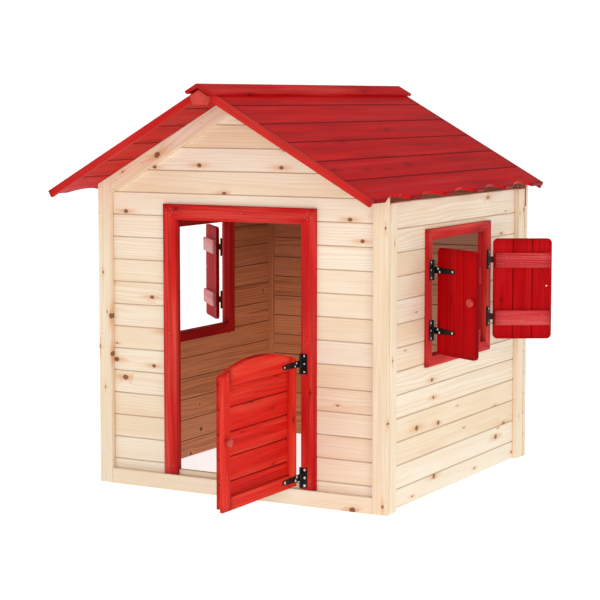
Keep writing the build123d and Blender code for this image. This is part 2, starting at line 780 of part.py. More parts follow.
def upright_board(face, hand, index):
    """One upright shutter board, bevelled at its joints and rounded at the shutter's outer corners."""
    width = shutter_w / SHUTTER_BOARDS
    near = LEAF_SETBACK + index * width
    low_x, high_x = sorted((hand * near, hand * (near + width)))
    first = min(hand * LEAF_SETBACK, hand * shutter_far)
    last = max(hand * LEAF_SETBACK, hand * shutter_far)
    tiny = SHUTTER_CORNER_R / 100
    with BuildPart() as board:
        with BuildSketch(face) as outline:
            with Locations(((low_x + high_x) / 2, shutter_low + SHUTTER_H / 2)):
                Rectangle(width, SHUTTER_H)
            outer = [v for v in outline.vertices() if min(abs(v.X - first), abs(v.X - last)) < tiny]
            if outer:
                fillet(outer, SHUTTER_CORNER_R)
        extrude(amount=-BOARD_T)
        joints = [x for x in (low_x, high_x) if min(abs(x - first), abs(x - last)) > tiny]
        long_edges = board.edges().filter_by(Axis.Z)
        for depth, size in ((0, GROOVE), (-BOARD_T, BACK_GROOVE)):
            chosen = []
            for edge in long_edges:
                place = face.to_local_coords(edge.center())
                beside = any(abs(place.X - x) < tiny for x in joints)
                if beside and abs(place.Z - depth) < tiny:
                    chosen.append(edge)
            chamfer(chosen, size)
    return board.part


def shutter(name, wall, axis_x, hand, angle):
    """Makes a shutter's boards, battens, knob, hinge straps and screws; returns its hinge plates."""
    frame = hinge_frame(wall, axis_x, WINDOW_CASING_T, hand, angle)
    closed = hinge_frame(wall, axis_x, WINDOW_CASING_T, hand, 0)
    face = frame.offset(-KNUCKLE_R)
    heights = (shutter_low + LOWER_HINGE_Z, shutter_low + UPPER_HINGE_Z)
    group(f"{name}_shutter_boards", [upright_board(face, hand, i) for i in range(SHUTTER_BOARDS)])
    batten_ends = (LEAF_SETBACK + BATTEN_END_INSET, shutter_far - BATTEN_END_INSET)
    left, right = sorted(hand * end for end in batten_ends)
    battens = []
    for middle in (shutter_low + LOWER_BATTEN_Z, shutter_low + UPPER_BATTEN_Z):
        outline = corners(left, right, middle - BATTEN_H / 2, middle + BATTEN_H / 2)
        batten = prism(face.offset(-BOARD_T), outline, -BOARD_T)
        battens.append(eased(batten, -face.z_dir))
    group(f"{name}_shutter_battens", battens)
    knob_at = hand * (shutter_far - SHUTTER_KNOB_INSET)
    single(f"{name}_shutter_knob", knob(face, knob_at, shutter_low + SHUTTER_KNOB_Z))
    screws = hang(frame, closed, hand, heights, None, f"{name}_shutter_straps")
    group(f"{name}_shutter_screws", screws)
    return [hinge_plate(closed, hand, z) for z in heights]


front_jamb = window_middle - WINDOW_W / 2
rear_jamb = window_middle + WINDOW_W / 2
shutter_plates = shutter("right_front", RIGHT, front_jamb, 1, RIGHT_FRONT_OPEN)
shutter_plates += shutter("right_rear", RIGHT, rear_jamb, -1, RIGHT_REAR_OPEN)
shutter_plates += shutter("left_front", LEFT, -front_jamb, -1, LEFT_FRONT_OPEN)
shutter_plates += shutter("left_rear", LEFT, -rear_jamb, 1, LEFT_REAR_OPEN)
group("shutter_hinge_plates", shutter_plates)
group("hinge_pins", pins)
group("hinge_plate_screws", fixed_screws)

# --- Screws that hold the four panels together ---
panel_screws = []
for wall in (FRONT, BACK):
    for side in (-1, 1):
        for z in (PANEL_SCREW_FOOT, PANEL_SCREW_MIDDLE, SIDE_TOP - PANEL_SCREW_TOP_DROP):
            x = side * (HALF_W - PANEL_SCREW_INSET)
            face = wall.offset(POST_T)
            panel_screws.append(screw(face, x, z, PANEL_SCREW_R, PANEL_SCREW_HEAD_R, PANEL_SCREW_L))
group("panel_screws", panel_screws)
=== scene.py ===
"""A children's wooden playhouse: fir walls, a stained plank roof, a half door and four shutters."""

import logging
import math
from collections import Counter, defaultdict
from dataclasses import dataclass, field
from enum import Enum
from typing import Iterable, Optional, Sequence, Union

import bmesh
import bpy
import numpy as np
from mathutils import Matrix, Vector


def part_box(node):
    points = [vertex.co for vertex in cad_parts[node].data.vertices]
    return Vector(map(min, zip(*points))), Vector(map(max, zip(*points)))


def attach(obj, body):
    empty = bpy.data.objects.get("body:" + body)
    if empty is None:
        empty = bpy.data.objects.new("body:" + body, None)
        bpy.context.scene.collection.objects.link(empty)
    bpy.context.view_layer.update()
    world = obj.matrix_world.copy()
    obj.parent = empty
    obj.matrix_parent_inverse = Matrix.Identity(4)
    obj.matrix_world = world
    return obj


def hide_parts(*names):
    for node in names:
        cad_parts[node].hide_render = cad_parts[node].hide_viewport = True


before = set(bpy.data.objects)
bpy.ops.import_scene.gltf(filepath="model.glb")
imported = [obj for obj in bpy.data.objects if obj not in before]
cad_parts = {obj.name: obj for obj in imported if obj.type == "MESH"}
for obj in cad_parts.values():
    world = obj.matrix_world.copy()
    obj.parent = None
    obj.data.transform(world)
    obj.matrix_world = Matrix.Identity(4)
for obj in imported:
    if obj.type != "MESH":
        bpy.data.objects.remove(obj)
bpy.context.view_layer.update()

log = logging.getLogger("playhouse")

Colour = tuple[float, float, float]
Number = Union[float, "Value"]
Spot = tuple[Vector, Vector]


def shade(red: int, green: int, blue: int) -> Colour:
    """Turns a colour as a paint chart gives it, 0 to 255, into linear light.

    Args:
        red: Red share.
        green: Green share.
        blue: Blue share.

    Returns:
        The colour in linear light, 0 to 1.
    """
    shares = (red / 255, green / 255, blue / 255)
    return tuple(s / 12.92 if s <= 0.04045 else ((s + 0.055) / 1.055) ** 2.4 for s in shares)


def seen(colour: Colour) -> tuple[float, float, float, float]:
    """Adds full opacity to a colour, as a colour socket wants it."""
    return (*colour, 1.0)


# --- Materials: values, graphs and finishes ---
class Value:
    """A number that changes over a surface; Python's operators on it add Math nodes."""

    def __init__(self, graph: "Graph", socket: bpy.types.NodeSocket) -> None:
        """Keeps the graph that the socket is in."""
        self.graph = graph
        self.socket = socket

    def __add__(self, other: Number) -> "Value":
        """Sum."""
        return self.graph.maths("ADD", self, other)

    def __radd__(self, other: Number) -> "Value":
        """Sum, number first."""
        return self.graph.maths("ADD", other, self)

    def __sub__(self, other: Number) -> "Value":
        """Difference."""
        return self.graph.maths("SUBTRACT", self, other)

    def __rsub__(self, other: Number) -> "Value":
        """Difference, number first."""
        return self.graph.maths("SUBTRACT", other, self)

    def __mul__(self, other: Number) -> "Value":
        """Product."""
        return self.graph.maths("MULTIPLY", self, other)

    def __rmul__(self, other: Number) -> "Value":
        """Product, number first."""
        return self.graph.maths("MULTIPLY", other, self)

    def __truediv__(self, other: Number) -> "Value":
        """Quotient."""
        return self.graph.maths("DIVIDE", self, other)

    def __rtruediv__(self, other: Number) -> "Value":
        """Quotient, number first."""
        return self.graph.maths("DIVIDE", other, self)

    def __abs__(self) -> "Value":
        """Size without its sign."""
        return self.graph.maths("ABSOLUTE", self)

    def least(self, other: Number) -> "Value":
        """The smaller of two."""
        return self.graph.maths("MINIMUM", self, other)

    def most(self, other: Number) -> "Value":
        """The larger of two."""
        return self.graph.maths("MAXIMUM", self, other)

    def part(self) -> "Value":
        """What is left over a whole number."""
        return self.graph.maths("FRACT", self)

    def root(self) -> "Value":
        """Square root."""
        return self.graph.maths("SQRT", self)

    def bell(self) -> "Value":
        """1 at nothing, falling smoothly to 0 a few units either side."""
        return self.graph.maths("EXPONENT", (self * self) * -1.0)

    def rise(self, low: float, high: float) -> "Value":
        """0 below one level and 1 above another, smooth between.

        Args:
            low: Level that gives 0.
            high: Level that gives 1; below low, the step falls.

        Returns:
            The step.
        """
        if high < low:
            return 1.0 - self.rise(high, low)
        node = self.graph.add(
            "ShaderNodeMapRange",
            {"interpolation_type": "SMOOTHSTEP"},
            {"Value": self, "From Min": low, "From Max": high},
        )
        return Value(self.graph, node.outputs[0])


class Graph:
    """The nodes of one material or of the world."""

    def __init__(self, owner: bpy.types.Material | bpy.types.World) -> None:
        """Clears the owner's nodes.

        Args:
            owner: The material or the world.
        """
        self.owner = owner
        owner.use_nodes = True
        self.tree = owner.node_tree
        self.tree.nodes.clear()

    def add(
        self, kind: str, settings: Optional[dict] = None, sockets: Optional[dict] = None
    ) -> bpy.types.Node:
        """Adds one node.

        Args:
            kind: The node's type.
            settings: Properties, which are set first.
            sockets: Values or links for its inputs, by name or place.

        Returns:
            The node.
        """
        node = self.tree.nodes.new(kind)
        for name, setting in (settings or {}).items():
            setattr(node, name, setting)
        self.feed(node, sockets or {})
        return node

    def feed(self, node: bpy.types.Node, sockets: dict) -> None:
        """Sets or links a node's inputs.

        Args:
            node: The node.
            sockets: Values or links, by name or place.
        """
        for key, value in sockets.items():
            given = value.socket if isinstance(value, Value) else value
            if isinstance(given, bpy.types.NodeSocket):
                self.tree.links.new(given, node.inputs[key])
            else:
                node.inputs[key].default_value = given

    def maths(self, operation: str, *values: Number) -> Value:
        """Adds a Math node."""
        node = self.add("ShaderNodeMath", {"operation": operation}, dict(enumerate(values)))
        return Value(self, node.outputs[0])

    def vector(self, operation: str, *values: object) -> bpy.types.NodeSocket:
        """Adds a Vector Math node and gives its vector."""
        node = self.add("ShaderNodeVectorMath", {"operation": operation}, dict(enumerate(values)))
        return node.outputs[0]

    def parts(self, vector: bpy.types.NodeSocket) -> tuple[Value, Value, Value]:
        """Splits a vector into three values."""
        node = self.add("ShaderNodeSeparateXYZ", {}, {0: vector})
        return tuple(Value(self, socket) for socket in node.outputs)

    def joined(self, *values: Number) -> bpy.types.NodeSocket:
        """Makes a vector of three values."""
        return self.add("ShaderNodeCombineXYZ", {}, dict(enumerate(values))).outputs[0]

    def attribute(self, name: str) -> bpy.types.NodeSocket:
        """Reads a vector that the mesh carries."""
        return self.add("ShaderNodeAttribute", {"attribute_name": name}).outputs["Vector"]

    def place(self) -> bpy.types.NodeSocket:
        """Position on the piece, in metres."""
        return self.add("ShaderNodeTexCoord").outputs["Object"]

    def cloud(
        self, vector: object, scale: float = 1.0, detail: float = 2.0, rough: float = 0.5
    ) -> Value:
        """Smooth noise about one half.

        Args:
            vector: Where to read it.
            scale: How fine it is.
            detail: Octaves.
            rough: How strong the finer octaves are.

        Returns:
            The noise, mostly 0.3 to 0.7.
        """
        sockets = {"Vector": vector, "Scale": scale, "Detail": detail, "Roughness": rough}
        return Value(self, self.add("ShaderNodeTexNoise", {}, sockets).outputs[0])

    def drawn(
        self,
        vector: object,
        along: float,
        across: float,
        detail: float = 2.0,
        rough: float = 0.5,
    ) -> Value:
        """Smooth noise about one half, drawn out along the grain.

        Args:
            vector: Where to read it, the grain's way first.
            along: How fine it is along the grain, in cells a metre.
            across: How fine it is across the grain.
            detail: Octaves.
            rough: How strong the finer octaves are.

        Returns:
            The noise, mostly 0.3 to 0.7.
        """
        drawn_out = self.vector("MULTIPLY", vector, (along, across, across))
        return self.cloud(drawn_out, 1.0, detail, rough)

    def blend(
        self, amount: Number, first: object, second: object, kind: str = "MIX"
    ) -> bpy.types.NodeSocket:
        """Mixes two colours.

        Args:
            amount: Share of the second.
            first: A colour or a link.
            second: A colour or a link.
            kind: How they mix.

        Returns:
            The mixed colour.
        """
        settings = {"data_type": "RGBA", "blend_type": kind, "clamp_factor": True}
        ends = [seen(c) if isinstance(c, tuple) else c for c in (first, second)]
        return self.add("ShaderNodeMix", settings, {0: amount, 6: ends[0], 7: ends[1]}).outputs[2]

    def layers(self, base: object, *coats: tuple[Number, object]) -> bpy.types.NodeSocket:
        """Lays colours over one another.

        Args:
            base: The lowest colour.
            coats: The share of each coat and its colour, from the lowest up.

        Returns:
            The mixed colour.
        """
        for amount, coat in coats:
            base = self.blend(amount, base, coat)
        return base


class Surface(Graph):
    """The nodes of one material, round one shader."""

    def __init__(self, name: str) -> None:
        """Starts a material with its shader and output.

        Args:
            name: The material's name.
        """
        super().__init__(bpy.data.materials.new(name))
        self.material = self.owner
        self.shader = self.add("ShaderNodeBsdfPrincipled")
        self.add("ShaderNodeOutputMaterial", {}, {"Surface": self.shader.outputs[0]})

    def finished(self, height: Value, sockets: dict) -> bpy.types.Material:
        """Bumps the surface and feeds the shader.

        Args:
            height: Relief in metres.
            sockets: Values or links for the shader's inputs.

        Returns:
            The material.
        """
        bump = self.add("ShaderNodeBump", {}, {"Height": height, "Distance": 1.0})
        self.feed(self.shader, {**sockets, "Normal": bump.outputs[0]})
        return self.material


GRAIN, HALF, LOT = "grain", "half", "lot"
RIM_DEPTH = 0.00015


@dataclass(frozen=True)
class Timber:
    """How boards of one kind are sawn, in metres, and how much of their growth shows.

    The grain coordinates run along, across and through the board; y and z from the tree's heart
    give the rings, and a cell pattern along and across gives the knots.
    """

    ring: float = 0.0075
    waver: float = 0.042
    heart_spread: float = 0.11
    heart_depth: float = 0.05
    least_heart_depth: float = 0.008
    taper: float = 0.03
    lot_offsets: tuple[float, float, float] = (37.0, 53.0, 71.0)
    cell_offsets: tuple[float, float] = (91.0, 57.0)
    knots: float = 0.30
    knot_size: float = 0.0075
    knot_pitch: float = 0.17
    knot_lane: float = 0.085
    groove: float = 0.0027
    arris: float = 0.0020
    # Depth of the inward-face mask that the bare-wood finish paints in shade.
    inner_skin: float = 0.0010

    def grow(self, graph: "Surface") -> "Growth":
        """Lays out the grain of a board in a material.

        Args:
            graph: The material's graph.

        Returns:
            The masks that the finishes colour.
        """
        spot = graph.attribute(GRAIN)
        x, y, z = graph.parts(spot)
        lot = graph.attribute(LOT)
        one, two, three = graph.parts(lot)
        away = graph.vector("ADD", spot, graph.vector("MULTIPLY", lot, self.lot_offsets))

        lane = graph.joined(
            x / self.knot_pitch + one * self.cell_offsets[0],
            y / self.knot_lane + two * self.cell_offsets[1],
            0.0,
        )
        cells = graph.add(
            "ShaderNodeTexVoronoi",
            {"voronoi_dimensions": "2D", "feature": "F1"},
            {"Vector": lane, "Scale": 1.0, "Randomness": 0.9},
        )
        gap_x, gap_y, _ = graph.parts(graph.vector("SUBTRACT", lane, cells.outputs["Position"]))
        chance, girth, mood = graph.parts(cells.outputs["Color"])
        here = chance.rise(1.0 - self.knots, 1.02 - self.knots)
        size = (girth * girth * 0.85 + 0.30) * self.knot_size
        dx = gap_x * self.knot_pitch
        dy = gap_y * self.knot_lane
        ripple = graph.cloud(away, 160.0, 1.0) - 0.5
        reach = ((dx * dx * 0.62 + dy * dy).root() / size) + ripple * 0.45
        eye = reach.rise(1.02, 0.86) * here
        swerve = (reach / 2.7).bell() * here

        sway = graph.drawn(away, 1.1, 7.0) - 0.5
        drift = graph.drawn(away, 5.0, 40.0) - 0.5
        out_y = y + (one - 0.5) * self.heart_spread + sway * self.waver * 2.0 + drift * 0.004
        depth = two * self.heart_depth + self.least_heart_depth
        out_z = z + depth + x * ((three - 0.5) * self.taper)
        from_heart = (out_y * out_y + out_z * out_z).root()
        turns = (from_heart + swerve * 0.010) / self.ring
        phase = turns.part()

        half_x, half_y, half_z = graph.parts(graph.attribute(HALF))
        to_x, to_y, to_z = half_x - abs(x), half_y - abs(y), half_z - abs(z)
        near, far = to_x.least(to_y), to_x.most(to_y)
        return Growth(
            late=phase.rise(0.30, 0.86) * phase.rise(1.0, 0.90),
            fibre=graph.drawn(away, 9.0, 420.0, 3.0, 0.6),
            streak=graph.drawn(away, 2.2, 55.0, 3.0, 0.6),
            broad=graph.drawn(away, 1.6, 24.0),
            patch=graph.drawn(away, 3.0, 9.0),
            eye=eye,
            rim=((reach - 0.96) / 0.17).bell() * here,
            heart=(reach * 3.1 + ripple).part() * eye,
            tail=(dy / (size * 1.5)).bell() * (dx / (size * 6.5)).bell() * here,
            mood=mood,
            one=one,
            two=two,
            edge=near.most(far.least(to_z)),
            to_side=to_y,
            end=to_x.rise(0.030, 0.0),
            # The board's inward face, which the bare-wood finish paints in shade.
            inside=(z + half_z).rise(self.inner_skin, self.inner_skin * 0.5),
        )


@dataclass(frozen=True)
class Growth:
    """Masks of one board: its rings, fibres, knots, edges and the lot it came from."""

    late: Value
    fibre: Value
    streak: Value
    broad: Value
    patch: Value
    eye: Value
    rim: Value
    heart: Value
    tail: Value
    mood: Value
    one: Value
    two: Value
    edge: Value
    to_side: Value
    end: Value
    # Inward face: painted shade in the bare-wood finish.
    inside: Value

    def arris(self, radius: float) -> Value:
        """Height of a rounded edge, in metres, for a radius."""
        return self.edge.rise(0.0, radius) * (radius * 0.5)

    def height(self, late: float, fibre: float, streak: float) -> Value:
        """Adds up the relief of the grain.

        Args:
            late: Height of the late wood, in metres.
            fibre: Depth of the fibres.
            streak: Depth of the streaks.

        Returns:
            The height, in metres.
        """
        grain = self.late * late + (self.fibre - 0.5) * fibre + (self.streak - 0.5) * streak
        return grain - self.rim * RIM_DEPTH


@dataclass(frozen=True)
class BareWood:
    """Planed fir without a finish: pale early wood, warmer late wood and ringed knots."""

    name: str
    timber: Timber = Timber()
    pale: Colour = shade(240, 229, 209)
    warm: Colour = shade(234, 212, 180)
    late: Colour = shade(219, 184, 142)
    knot: Colour = shade(142, 84, 44)
    # Dark brown of knot rims and hearts, also used for painted interior shade.
    bark_and_shade: Colour = shade(66, 36, 18)
    resin: Colour = shade(214, 146, 84)
    # Painted shade: a darker brown multiplied into faces that look into the house.
    indoor_shade: Colour = shade(226, 150, 98)
    joint: Colour = shade(150, 102, 62)
    joint_share: float = 0.50
    # Share of painted indoor shade on every face; 1 shades the whole piece.
    indoor_shade_share: float = 0.0
    shine: float = 0.35
    # Painted window light: the x span over which inward faces lose part of their painted shade, and
    # how much.
    window_light_span: tuple[float, float] = (-0.02, 0.26)
    window_light_share: float = 0.34
    # Painted shade: the height span over which inward faces darken towards the roof.
    eaves_shade_span: tuple[float, float] = (0.45, 1.0)

    def material(self) -> bpy.types.Material:
        """Builds the finish.

        Returns:
            The material.
        """
        graph = Surface(self.name)
        grown = self.timber.grow(graph)
        tone = (grown.one * 0.75 + (grown.patch - 0.5) * 1.4 + 0.05).rise(0.0, 1.0)
        colour = graph.layers(
            self.pale,
            (tone, self.warm),
            ((grown.broad - 0.46) * 2.0, self.warm),
            (grown.late * (grown.two * 0.34 + 0.09), self.late),
            ((grown.fibre - 0.48) * 0.8, self.late),
            ((grown.streak - 0.56) * 1.8, self.late),
        )
        sideways, _, height_up = graph.parts(graph.place())
        # Painted light: inward faces towards +x, by the right window, get less of the shade tint,
        # as if lit through it.
        painted_window_light = sideways.rise(*self.window_light_span)
        # Painted interior shade: inward faces are multiplied darker and browner, with darker late
        # wood and streaks.
        shaded_inner = graph.layers(
            graph.blend(0.90 - painted_window_light * self.window_light_share, colour, self.indoor_shade, "MULTIPLY"),
            (grown.late * (grown.one * 0.24 + 0.10), self.bark_and_shade),
            ((grown.streak - 0.52) * 1.6, self.bark_and_shade),
            # Painted shade: inward faces darken higher up, towards the eaves.
            (height_up.rise(*self.eaves_shade_span) * 0.34, self.bark_and_shade),
        )
        colour = graph.layers(
            colour,
            # Lays the painted interior shade on inward faces, or on all faces by the shade share.
            (grown.inside + self.indoor_shade_share, shaded_inner),
            (grown.tail * 0.66, self.resin),
            # Knots on inward faces take the dark shade colour.
            (grown.eye * 0.90, graph.blend(grown.inside, self.knot, self.bark_and_shade)),
            (grown.heart * 0.45, self.bark_and_shade),
            (grown.rim * (grown.mood * 0.6 + 0.35), self.bark_and_shade),
        )
        if self.timber.groove:
            line = grown.to_side.rise(self.timber.groove, 0.0004)
            # Groove lines on inward faces take the dark shade colour.
            seam_and_shade = graph.blend(grown.inside, self.joint, self.bark_and_shade)
            colour = graph.blend(line * (grown.inside * 0.3 + self.joint_share), colour, seam_and_shade)
        colour = graph.blend(grown.edge.rise(0.0012, 0.0) * 0.35, colour, self.late)
        rough = grown.late * -0.10 + (grown.fibre - 0.5) * 0.20 + 0.62 - grown.eye * 0.15
        arris = grown.arris(self.timber.arris) * (1.0 - grown.inside)
        height = grown.height(0.00006, 0.00012, 0.00010) + grown.eye * 0.00012 + arris
        return graph.finished(
            height, {"Base Color": colour, "Roughness": rough, "Specular IOR Level": self.shine}
        )


@dataclass(frozen=True)
class StainedWood:
    """Fir under a thin red stain that sinks into the early wood and lets the grain through."""

    name: str
    deep: Colour
    thin: Colour
    streaked: Colour
    timber: Timber = Timber(groove=0.0)
    # Darkens a band along each edge: part dark joint line, part painted shadow.
    seam_and_shade: float = 0.0
    ringed: float = 0.22
    pale_rings: bool = False
    rough: float = 0.58
    shine: float = 0.10
    soaked: float = 0.36

    def material(self) -> bpy.types.Material:
        """Builds the finish.

        Returns:
            The material.
        """
        graph = Surface(self.name)
        grown = self.timber.grow(graph)
        dark = tuple(share * self.soaked for share in self.deep)
        tone = (grown.one * 0.7 + (grown.patch - 0.5) * 2.2 + 0.15).rise(0.0, 1.0)
        rings = grown.late * (grown.two * self.ringed + self.ringed * 0.6)
        wear = grown.edge.rise(0.0018, 0.0) * (grown.patch.rise(0.40, 0.60) * 0.6)
        colour = graph.layers(
            self.deep,
            (tone, self.thin),
            ((grown.broad - 0.5) * 2.6, self.streaked),
            ((0.47 - grown.broad) * 2.0, dark),
            ((grown.streak - 0.5) * 1.6, self.streaked),
            (rings, self.streaked if self.pale_rings else dark),
            ((0.46 - grown.fibre) * 2.0, dark),
            (grown.tail * 0.40, dark),
            (grown.eye * 0.60, dark),
            (grown.rim * 0.85, dark),
            (grown.end * 0.35, dark),
            (wear, self.streaked),
        )
        # Dark band along each edge: a joint line, and on the door rails a painted shadow where they
        # stand over the boards.
        if self.seam_and_shade:
            colour = graph.blend(grown.edge.rise(0.0032, 0.0012) * self.seam_and_shade, colour, dark)
        if self.timber.groove:
            line = grown.to_side.rise(self.timber.groove, self.timber.groove * 0.4)
            colour = graph.blend(line * 0.75, colour, dark)
        rough = (grown.streak - 0.5) * 0.35 + grown.late * -0.08 + self.rough
        height = grown.height(0.00007, 0.00014, 0.00012) + grown.arris(self.timber.arris)
        return graph.finished(
            height, {"Base Color": colour, "Roughness": rough, "Specular IOR Level": self.shine}
        )


@dataclass(frozen=True)
class PowderCoat:
    """Black baked powder on steel, with orange peel and rubbed high spots."""

    name: str
    colour: Colour = shade(12, 11, 12)
    rubbed: Colour = shade(38, 37, 38)
    shine: float = 0.30

    def material(self) -> bpy.types.Material:
        """Builds the finish.

        Returns:
            The material.
        """
        graph = Surface(self.name)
        place = graph.place()
        peel = graph.cloud(place, 900.0, 2.0)
        worn = graph.cloud(place, 60.0, 4.0, 0.7)
        colour = graph.blend(worn.rise(0.56, 0.72) * 0.45, self.colour, self.rubbed)
        rough = worn * 0.3 + 0.30
        return graph.finished(
            (peel - 0.5) * 0.00008,
            {"Base Color": colour, "Roughness": rough, "Specular IOR Level": self.shine},
        )


@dataclass(frozen=True)
class ZincPlate:
    """Bright zinc on a steel screw or nail, clouded blue and yellow."""

    name: str
    bright: Colour = shade(244, 245, 246)
    dull: Colour = shade(206, 206, 202)
    rough: float = 0.34
    metal: float = 0.35

    def material(self) -> bpy.types.Material:
        """Builds the finish.

        Returns:
            The material.
        """
        graph = Surface(self.name)
        place = graph.place()
        clouded = graph.cloud(place, 350.0, 3.0, 0.6)
        colour = graph.blend(clouded.rise(0.35, 0.68), self.bright, self.dull)
        rough = clouded * 0.25 + self.rough
        height = (graph.cloud(place, 1400.0, 1.0) - 0.5) * 0.00004
        return graph.finished(
            height, {"Base Color": colour, "Roughness": rough, "Metallic": self.metal}
        )


# --- Solids: the separate boards and screws inside a node ---
@dataclass
class Solid:
    """One board or screw of a node, and the frame that it was sawn or turned in."""

    faces: list[int]
    centre: Vector
    along: Vector
    across: Vector
    through: Vector
    half: Vector
    points: np.ndarray

    def at(self, x: float, y: float, z: float) -> Vector:
        """Finds a point of the board.

        Args:
            x: Along it, from -1 at one end to 1 at the other.
            y: Across it, from -1 to 1.
            z: Through it, from -1 to 1.

        Returns:
            The point.
        """
        return (
            self.centre
            + self.along * (x * self.half.x)
            + self.across * (y * self.half.y)
            + self.through * (z * self.half.z)
        )

    def facing(self, way: Vector) -> float:
        """1 or -1: the sign of the broad face that looks a given way."""
        return 1.0 if self.through.dot(way) > 0 else -1.0

    def spot(self, x: float, y: float, out: Vector) -> Spot:
        """Finds where a nail stands on a broad face.

        Args:
            x: Along the board, from -1 to 1.
            y: Across it, from -1 to 1.
            out: The way that the face looks.

        Returns:
            The point and the way out of the wood.
        """
        return self.at(x, y, self.facing(out)), out


class Joinery:
    """Finds the solids of a node's mesh and writes each board's grain frame on it."""

    SAME_PLACE = 5
    FLAT = 0.985
    PARALLEL = 0.998
    SIDEWAYS = 0.2

    def __init__(self, core: Vector, seed: int) -> None:
        """Starts the draw of lots.

        Args:
            core: The middle of the house, which no weather side looks at.
            seed: Seed of the draw.
        """
        self.core = core
        self.draw = np.random.default_rng(seed)

    def split(self, mesh: bpy.types.Mesh) -> list[list[int]]:
        """Groups a mesh's faces into closed solids: a solid ends when every edge has met its twin.

        Args:
            mesh: The mesh, whose faces come solid by solid.

        Returns:
            The face numbers of each solid.
        """
        keys = [tuple(round(c, self.SAME_PLACE) for c in vertex.co) for vertex in mesh.vertices]
        loose: Counter = Counter()
        solids: list[list[int]] = []
        current: list[int] = []
        for face in mesh.polygons:
            ring = [keys[v] for v in face.vertices]
            for start, stop in zip(ring, ring[1:] + ring[:1]):
                if start == stop:
                    continue
                if loose.get((stop, start)):
                    loose[(stop, start)] -= 1
                    if not loose[(stop, start)]:
                        del loose[(stop, start)]
                else:
                    loose[(start, stop)] += 1
            current.append(face.index)
            if not loose:
                solids.append(current)
                current = []
        if current:
            solids.append(current)
        return solids

    def solids(self, item: bpy.types.Object) -> list[Solid]:
        """The solids of an object with their frames."""
        return [self._measured(item.data, faces) for faces in self.split(item.data)]

    def _measured(self, mesh: bpy.types.Mesh, faces: list[int]) -> Solid:
        """Finds the frame of one solid from its edges and its broadest face.

        Args:
            mesh: The mesh.
            faces: The solid's face numbers.

        Returns:
            The solid.
        """
        meets: dict = defaultdict(list)
        normals: list[tuple[Vector, float]] = []
        for number in faces:
            face = mesh.polygons[number]
            corners = [mesh.vertices[v].co for v in face.vertices]
            normals.append((face.normal.copy(), face.area))
            for a, b in zip(corners, corners[1:] + corners[:1]):
                pair = tuple(sorted(tuple(round(c, self.SAME_PLACE) for c in p) for p in (a, b)))
                meets[pair].append(face.normal)
        runs: list[list] = []
        for (a, b), sides in meets.items():
            if a == b or (len(sides) > 1 and sides[0].dot(sides[1]) > self.FLAT):
                continue
            step = Vector(b) - Vector(a)
            self._gather(runs, step.normalized(), step.length)
        along = max(runs, key=lambda run: run[1])[0] if runs else Vector((0, 0, 1))
        broad: list[list] = []
        for normal, area in normals:
            if abs(normal.dot(along)) < self.SIDEWAYS:
                self._gather(broad, normal, area)
        through = max(broad, key=lambda run: run[1])[0] if broad else along.orthogonal()
        across = through.cross(along).normalized()
        through = along.cross(across).normalized()
        points = np.array(
            [mesh.vertices[v].co for number in faces for v in mesh.polygons[number].vertices]
        )
        spans = []
        for axis in (along, across, through):
            run = points @ np.array(axis)
            spans.append((run.min(), run.max()))
        centre = Vector()
        for axis, (low, high) in zip((along, across, through), spans):
            centre += axis * ((low + high) / 2)
        half = Vector(((high - low) / 2 for low, high in spans))
        return Solid(faces, centre, along, across, through, half, points)

    def _gather(self, runs: list[list], way: Vector, weight: float) -> None:
        """Adds a weight to the direction that is parallel to a given one.

        Args:
            runs: Directions and their weights so far.
            way: The direction.
            weight: Its weight.
        """
        for run in runs:
            if abs(run[0].dot(way)) > self.PARALLEL:
                run[1] += weight
                return
        runs.append([way, weight])

    def mark(self, item: bpy.types.Object) -> list[Solid]:
        """Writes each board's grain coordinates, half size and lot on its faces.

        The third coordinate grows towards the weather side.

        Args:
            item: A wooden object.

        Returns:
            Its solids.
        """
        mesh = item.data
        solids = self.solids(item)
        grain = mesh.attributes.new(GRAIN, "FLOAT_VECTOR", "CORNER")
        half = mesh.attributes.new(HALF, "FLOAT_VECTOR", "FACE")
        lot = mesh.attributes.new(LOT, "FLOAT_VECTOR", "FACE")
        for solid in solids:
            drawn = self.draw.random(3)
            if solid.through.dot(solid.centre - self.core) < 0:
                solid.through, solid.across = -solid.through, -solid.across
            for number in solid.faces:
                half.data[number].vector = solid.half
                lot.data[number].vector = drawn
                face = mesh.polygons[number]
                for loop, vertex in zip(face.loop_indices, face.vertices):
                    gap = mesh.vertices[vertex].co - solid.centre
                    grain.data[loop].vector = (
                        gap.dot(solid.along),
                        gap.dot(solid.across),
                        gap.dot(solid.through),
                    )
        return solids


# --- Hardware ---
def new_piece(name: str, mesh: bmesh.types.BMesh, smooth: bool = True) -> bpy.types.Object:
    """Makes an object of a finished mesh.

    Args:
        name: The piece's name.
        mesh: The mesh, which is freed.
        smooth: Shade it smooth where its faces meet at a shallow angle.

    Returns:
        The object.
    """
    data = bpy.data.meshes.new(name)
    bmesh.ops.recalc_face_normals(mesh, faces=mesh.faces)
    mesh.to_mesh(data)
    mesh.free()
    if smooth:
        data.shade_smooth()
        data.set_sharp_from_angle(angle=math.radians(35))
    item = bpy.data.objects.new(name, data)
    bpy.context.scene.collection.objects.link(item)
    return item


